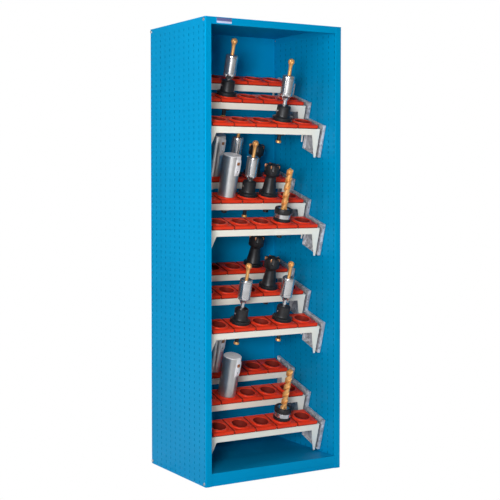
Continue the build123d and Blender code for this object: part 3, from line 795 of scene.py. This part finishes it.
def barBody():
    b = boringBar
    top, radius, mark = b["height"], b["radius"], b["mark"]
    body = turnPiece("barModel", groundSteel, taperOutline("short") + [
        (radius - b["edge"], taper["seat"]), (radius, taper["seat"] + b["edge"]), (radius, top - b["edge"]),
        (radius - b["edge"], top), (mark + 1, top), (mark, top - 1), (mark, top - 2), (mark - 2, top - 2),
    ], 64)
    half = b["width"] / 2
    low = (radius - b["depth"], -half, top - b["length"])
    high = (radius + b["depth"], half, top + 3)
    pocket = blockPiece("pocketModel", groundSteel, low, high)
    combine(body, shift(pocket, turned(b["direction"])), "DIFFERENCE")
    # the end face gets the near-white steel: a painted highlight for the light it catches from above
    body.data.materials.append(lightSteelAndPaintedHighlight)
    for face in body.data.polygons:
        if face.normal.z > 0.6 and face.center.z > (top - 1.6) * mm:
            face.material_index = 1
    return smooth(body)


def barCartridge():
    b = boringBar
    top = b["height"]
    seat = top - b["length"]
    floor = b["radius"] - b["depth"]
    outer = b["radius"] + b["proud"]
    half = b["width"] / 2 - b["play"]
    block = blockPiece("blockModel", lightSteelAndPaintedHighlight, (floor, -half, seat), (outer, half, top))
    front = (floor + 5) * mm
    for corner in block.data.vertices:
        if corner.co.x > front and corner.co.z < (seat + 1) * mm:
            corner.co.x = (b["radius"] - b["edge"]) * mm
    onlySelect(block)
    bpy.ops.object.mode_set(mode="EDIT")
    for height in (seat + b["slope"], top - b["slope"]):
        bpy.ops.mesh.select_all(action="SELECT")
        bpy.ops.mesh.bisect(plane_co=(0, 0, height * mm), plane_no=(0, 0, 1))
    bpy.ops.object.mode_set(mode="OBJECT")
    for corner in block.data.vertices:
        height = corner.co.z / mm
        if corner.co.x > front and seat + 1 < height < top - 1:
            corner.co.x = outer * mm
        if corner.co.x > front and height > top - 1:
            corner.co.x = (floor + 6) * mm
    roundEdges(block, b["bevel"])
    screwPlace = placed(0, 0, seat + b["slope"]) @ turned(90, "Y")
    outline = [(b["hole"], outer - 7), (b["hole"], outer - 1.5), (b["holeTop"], outer + 1)]
    hole = turnPiece("holeModel", lightSteelAndPaintedHighlight, outline, 20)
    combine(block, shift(hole, screwPlace), "DIFFERENCE")
    screw = shift(setScrew("capModel", blackOxide, b["hole"] - 0.1, 5, outer - 1.6), screwPlace)
    return shift(smooth(block), turned(b["direction"])), shift(screw, turned(b["direction"]))


def cuttingPlate(finish, low, high, screwDirection):
    # an indexable plate with rounded edges and the hole of its screw, along x (0) or y (1)
    plate = blockPiece("plateModel", finish, low, high, 0.7)
    middle = [(a + b) / 2 for a, b in zip(low, high)]
    half = (high[screwDirection] - low[screwDirection]) / 2
    outline = [(2.2, 1 - half), (2.2, half - 1.2), (3.4, half + 0.5)]
    hole = turnPiece("holeModel", finish, outline, 20)
    combine(plate, shift(hole, placed(*middle) @ turned(90, "YX"[screwDirection])), "DIFFERENCE")
    return smooth(plate)


def barPlate():
    b = boringBar
    outer = b["radius"] + b["proud"]
    side = b["play"] - b["width"] / 2
    top = b["height"] - b["slope"] - b["proud"]
    low = (outer - 0.5, side, top - b["plate"])
    high = (outer + b["plateThick"], side + b["plate"], top)
    return shift(cuttingPlate(copperCarbide, low, high, 0), turned(b["direction"]))


# Face mills
faceMill = {
    "flange": 45.0, "neckFoot": 33.0, "neckTop": 23.0, "neckHeight": 88.0, "head": 36.0, "headStart": 100.0,
    "height": 145.0, "plates": 5, "first": -200.0, "plate": 12.0, "plateThick": 5.0, "proud": 1.0,
    "pocket": 14.0, "pocketDepth": 28.0, "bore": 11.0, "boreDepth": 8.0, "sides": 60,
}


def plateTurn(number):
    return turned(faceMill["first"] + 360 * number / faceMill["plates"])


def faceBody():
    f = faceMill
    top, foot, neck, head, bore = f["height"], f["neckFoot"], f["neckTop"] + 0.6, f["head"], f["bore"]
    body = turnPiece("faceModel", blackOxide, taperOutline("short") + flangeOutline(f["flange"]) + [
        (foot + 4, flangeSize["height"]), (foot + 1.2, 17.2), (foot, 20.0), (neck, f["neckHeight"] - 4),
        (neck, f["neckHeight"]), (f["neckTop"] + 3, f["neckHeight"] + 4), (head - 1, f["headStart"] - 1),
        (head, f["headStart"] + 1), (head, top - 1.5), (head - 1.5, top), (bore + 1, top), (bore, top - 1),
        (bore, top - f["boreDepth"]), (bore - 4, top - f["boreDepth"]),
    ], f["sides"])
    driveSlots(body, f["flange"])
    for i in range(f["plates"]):
        low = (head - f["pocket"], 0, top - f["pocketDepth"])
        high = (head + f["pocket"], f["pocket"], top + f["pocket"])
        pocket = blockPiece("pocketModel", blackOxide, low, high, 2.0)
        combine(body, shift(pocket, plateTurn(i)), "DIFFERENCE")
        low = (head + f["proud"] - f["plate"], -f["plateThick"], top + f["proud"] - f["plate"])
        seat = blockPiece("seatModel", blackOxide, low, (head + 4, 3, top + 3))
        combine(body, shift(seat, plateTurn(i)), "DIFFERENCE")
    return smooth(body)


def facePlates():
    f = faceMill
    tip, top = f["head"] + f["proud"], f["height"] + f["proud"]
    low, high = (tip - f["plate"], -f["plateThick"], top - f["plate"]), (tip, 0, top)
    plates = [shift(cuttingPlate(copperCarbide, low, high, 1), plateTurn(i)) for i in range(f["plates"])]
    return join("platesModel", plates)


# Drills in their chucks
drill = {
    "foot": 40.0, "footTop": 14.0, "band": 38.5, "bandTop": 34.0, "nut": 39.5, "nutTop": 58.0,
    "notches": 8, "notchWide": 8.0, "notchDeep": 2.2, "clamp": 26.5, "sides": 60,
    "radius": 14.5, "length": 187.0, "point": 9.0, "web": 4.5, "flute": 8.4, "turn": 980.0, "steps": 150,
    "sunk": 4.0, "chisel": 0.4,
}


def drillFoot():
    d = drill
    foot, seat, top = d["foot"], taper["seat"], d["footTop"]
    outline = taperOutline("short") + [(foot - 1, seat), (foot, seat + 1)]
    outline += groove(foot, 5.0, 4.0, 1.5, 1.0) + [(foot, top - 1), (foot - 1, top)]
    return smooth(turnPiece("footModel", blackOxide, outline, d["sides"]))


def drillNut():
    d = drill
    low, top, outer = d["bandTop"], d["nutTop"], d["nut"]
    nut = turnPiece("nutModel", blackOxide, [
        (outer - 3, low), (outer - 0.8, low + 1), (outer, low + 3), (outer, top - 5),
        (outer - 0.9, top - 2), (outer - 3, top - 0.4), (outer - 5, top), (outer - 9, top),
        (outer - 11, top - 1.5), (outer - 12, top - 4),
    ], d["sides"])
    half = d["notchWide"] / 2
    for i in range(d["notches"]):
        start = (outer - d["notchDeep"], -half, low + 8)
        notch = blockPiece("notchModel", blackOxide, start, (outer + 3, half, top + 3))
        combine(nut, shift(notch, turned(22.5 + 360 / d["notches"] * i)), "DIFFERENCE")
    return smooth(nut)


def drillBand():
    # the band round the chuck and the bright ring inside the nut
    d = drill
    low, top, band, clamp = d["footTop"], d["bandTop"], d["band"], d["clamp"]
    outline = [(band - 1, low), (band, low + 1), (band, top - 1), (band - 1, top)]
    bandPiece = turnPiece("bandModel", polishedChrome, outline, d["sides"])
    ring = turnPiece("ringModel", polishedChrome, [
        (clamp, top + 19), (clamp, top + 20.5), (clamp - 2, top + 21.5), (d["radius"] + 6, top + 21.5),
        (d["radius"] + 3, top + 20.2),
    ])
    return smooth(join("bandModel", [bandPiece, ring]))


def drillBit():
    # a fluted outline that a screw modifier sweeps up, then a point ground on its end
    d = drill
    startMesh()
    bpy.ops.mesh.primitive_circle_add(vertices=48, radius=d["radius"] * mm, fill_type="NOTHING")
    bit = ownName("bitModel", goldCoat)
    centre = d["web"] / 2 + d["flute"]
    for corner in bit.data.vertices:
        x, y = corner.co.x / mm, corner.co.y / mm
        if math.hypot(x, abs(y) - centre) < d["flute"]:
            # halve the span until the corner lies on the flute's round bottom
            low, high = 0.0, 1.0
            while high - low > 1e-9:
                part = (low + high) / 2
                inside = math.hypot(x * part, abs(y * part) - centre) < d["flute"]
                low, high = (low, part) if inside else (part, high)
            corner.co.x = x * low * mm
            corner.co.y = y * low * mm
    onlySelect(bit)
    height = d["length"] + d["sunk"]
    sweep = bit.modifiers.new("sweep", "SCREW")
    sweep.axis = "Z"
    sweep.angle = math.radians(d["turn"])
    sweep.screw_offset = height * mm
    sweep.steps = d["steps"]
    sweep.render_steps = d["steps"]
    bpy.ops.object.modifier_apply(modifier=sweep.name)
    bpy.ops.object.mode_set(mode="EDIT")
    bpy.ops.mesh.select_all(action="SELECT")
    bpy.ops.mesh.remove_doubles(threshold=0.00001)
    bpy.ops.mesh.select_all(action="DESELECT")
    bpy.ops.mesh.select_non_manifold()
    bpy.ops.mesh.fill_holes(sides=0)
    bpy.ops.mesh.select_all(action="SELECT")
    bpy.ops.mesh.normals_make_consistent(inside=False)
    bpy.ops.object.mode_set(mode="OBJECT")
    for corner in bit.data.vertices:
        across = math.hypot(corner.co.x, corner.co.y) / mm
        allowed = (height - corner.co.z / mm) * d["radius"] / d["point"]
        if across > allowed and across > 0:
            part = max(allowed, d["chisel"]) / across
            corner.co.x *= part
            corner.co.y *= part
    shift(bit, placed(0, 0, d["nutTop"] - d["sunk"]))
    return smooth(bit, 50)


def buildTool(kind, row):
    # the models of one tool with the part name, the node it stands for and the slot of each
    if kind == "ball_mill":
        reach = ballMill["reach"][row]
        return [
            (millHolder(), "Holder", "holder", "black_steel"),
            (studPiece(goldCoat, "long"), "Stud", None, "gold_coating"),
            (millScrew(), "SetScrew", None, "chrome_steel"),
            (millChuck(reach), "Chuck", "cutter", "chrome_steel"),
            (millCutter(reach), "Cutter", None, "gold_coating"),
        ]
    if kind == "boring_bar":
        block, screw = barCartridge()
        return [
            (barBody(), "Bar", "bar", "ground_steel"),
            (studPiece(blackOxide, "short"), "Stud", None, "black_steel"),
            (block, "Cartridge", None, "chrome_steel"),
            (screw, "Screw", None, "black_steel"),
            (barPlate(), "Plate", None, "gold_coating"),
        ]
    if kind == "face_mill":
        return [
            (faceBody(), "Body", "cutter", "black_steel"),
            (studPiece(blackOxide, "short"), "Stud", None, "black_steel"),
            (facePlates(), "Plates", None, "gold_coating"),
        ]
    return [
        (drillFoot(), "Foot", "chuck", "black_steel"),
        (studPiece(blackOxide, "short"), "Stud", None, "black_steel"),
        (drillBand(), "Band", None, "chrome_steel"),
        (drillNut(), "Nut", None, "black_steel"),
        (drillBit(), "Bit", "bit", "gold_coating"),
    ]


# Where each tool stands: unit from the top, row, column from the left
tools = {
    "ball_mill": [(1, "middle", 2), (1, "front", 4), (2, "rear", 3), (2, "middle", 3), (3, "front", 2),
                  (3, "front", 4)],
    "boring_bar": [(2, "rear", 2), (2, "middle", 2), (4, "rear", 2), (4, "middle", 2)],
    "face_mill": [(2, "rear", 4), (2, "middle", 4), (3, "rear", 4), (3, "middle", 4)],
    "drill": [(2, "front", 4), (4, "front", 4)],
}


def plainName(kind):
    first, second = (kind + "_").split("_")[:2]
    return first + second.capitalize()


models = {}
for kind, places in tools.items():
    for number, (unit, row, column) in enumerate(places, 1):
        key = (kind, row == rows[0])
        if key not in models:
            models[key] = buildTool(kind, row)
        body = f"{kind}_{number}"
        for model, part, node, slotName in models[key]:
            onRing = socketPlace(unit, row, column, rack["ring"])
            piece = copyTo(model, f"{plainName(kind)}{number}{part}", onRing)
            if node:
                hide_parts(f"{body}_{node}")
            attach(piece, body)
    print("tools made:", kind, len(places))
for parts in models.values():
    for part in parts:
        bpy.data.objects.remove(part[0])


# Name plate
plateSize = {"low": (-294.0, -260.0, 1975.0), "high": (-221.0, -259.0, 1997.0), "corner": 1.5, "edge": 0.25}
plate = blockPiece("namePlate", plateFilm, plateSize["low"], plateSize["high"])
pickEdges(plate, lambda a, b: abs(a.y - b.y) > 0.5 * mm)
bpy.ops.mesh.bevel(offset=plateSize["corner"] * mm, segments=4, affect="EDGES")
bpy.ops.object.mode_set(mode="OBJECT")
roundEdges(plate, plateSize["edge"])
smooth(plate)
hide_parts("name_plate")
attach(plate, "cabinet")
print("name plate made")


# Studio: white floor, four soft lights and the photograph's camera
studio = {
    "floor": 30.0, "floorShade": 0.92, "floorGloss": 0.9, "world": 0.05, "mirrored": 0.25,
    "lights": [
        {"name": "keyBox", "at": (-3.6, -4.4, 1.45), "to": (0, 0, 2.2), "size": (1.2, 1.2), "power": 222},
        {"name": "leftBox", "at": (-2.3, -0.4, 1.8), "to": (0, 0, 1), "size": (1.0, 1.4), "power": 26},
        {"name": "topBox", "at": (-0.9, -2.3, 2.5), "to": (0, 0, 1), "size": (0.7, 0.7), "power": 12},
        {"name": "backBox", "at": (3.0, 3.2, 3.4), "to": (0, 0, 1), "size": (1.6, 1.6), "power": 170},
    ],
}


def whiteWhenSeen(tree, shading, target):
    # the camera sees pure white, and every other ray sees the plain surface
    seen = tree.nodes.new("ShaderNodeLightPath")
    onSurface = target.type == "OUTPUT_MATERIAL"
    white = tree.nodes.new("ShaderNodeEmission" if onSurface else "ShaderNodeBackground")
    white.inputs["Color"].default_value = (1, 1, 1, 1)
    either = tree.nodes.new("ShaderNodeMixShader")
    tree.links.new(seen.outputs["Is Camera Ray"], either.inputs["Fac"])
    tree.links.new(shading, either.inputs[1])
    tree.links.new(white.outputs[0], either.inputs[2])
    tree.links.new(either.outputs["Shader"], target.inputs["Surface"])


startMesh()
bpy.ops.mesh.primitive_plane_add(size=studio["floor"])
floor = bpy.context.object
floor.name = "studioFloor"
floorFinish = bpy.data.materials.new("studioFloor")
floorFinish.use_nodes = True
floorTree = floorFinish.node_tree
floorShader = floorTree.nodes["Principled BSDF"]
shade = studio["floorShade"]
floorShader.inputs["Base Color"].default_value = (shade, shade, shade, 1)
floorShader.inputs["Roughness"].default_value = studio["floorGloss"]
whiteWhenSeen(floorTree, floorShader.outputs["BSDF"], floorTree.nodes["Material Output"])
floor.data.materials.append(floorFinish)

world = bpy.data.worlds.new("studio")
bpy.context.scene.world = world
world.use_nodes = True
sky = world.node_tree.nodes["Background"]
sky.inputs["Color"].default_value = (1, 1, 1, 1)
sky.inputs["Strength"].default_value = studio["world"]
# what polished surfaces mirror is a brighter room
worldNodes, worldLinks = world.node_tree.nodes, world.node_tree.links
mirrored = worldNodes.new("ShaderNodeBackground")
mirrored.inputs["Color"].default_value = (1, 1, 1, 1)
mirrored.inputs["Strength"].default_value = studio["mirrored"]
rayKind = worldNodes.new("ShaderNodeLightPath")
room = worldNodes.new("ShaderNodeMixShader")
worldLinks.new(rayKind.outputs["Is Glossy Ray"], room.inputs["Fac"])
worldLinks.new(sky.outputs["Background"], room.inputs[1])
worldLinks.new(mirrored.outputs["Background"], room.inputs[2])
whiteWhenSeen(world.node_tree, room.outputs["Shader"], worldNodes["World Output"])

for box in studio["lights"]:
    light = bpy.data.lights.new(box["name"], "AREA")
    light.shape = "RECTANGLE"
    light.size, light.size_y = box["size"]
    light.energy = box["power"]
    lamp = bpy.data.objects.new(box["name"], light)
    lamp.location = box["at"]
    aim = Vector(box["to"]) - Vector(box["at"])
    lamp.rotation_euler = aim.to_track_quat("-Z", "Y").to_euler()
    bpy.context.scene.collection.objects.link(lamp)

view = {
    "at": (-2.7304, -4.5714, 1.2991), "heading": 31.0905, "down": 2.2515, "lens": 83.93, "film": 36,
    "rise": -0.0425, "far": 100,
}
eye = bpy.data.cameras.new("photoCamera")
eye.lens = view["lens"]
eye.sensor_width = view["film"]
eye.shift_y = view["rise"]
eye.clip_end = view["far"]
camera = bpy.data.objects.new("photoCamera", eye)
camera.location = view["at"]
camera.rotation_euler = (math.radians(90 - view["down"]), 0, math.radians(-view["heading"]))
bpy.context.scene.collection.objects.link(camera)
bpy.context.scene.camera = camera
bpy.context.scene.view_settings.view_transform = "Standard"
print("studio made")
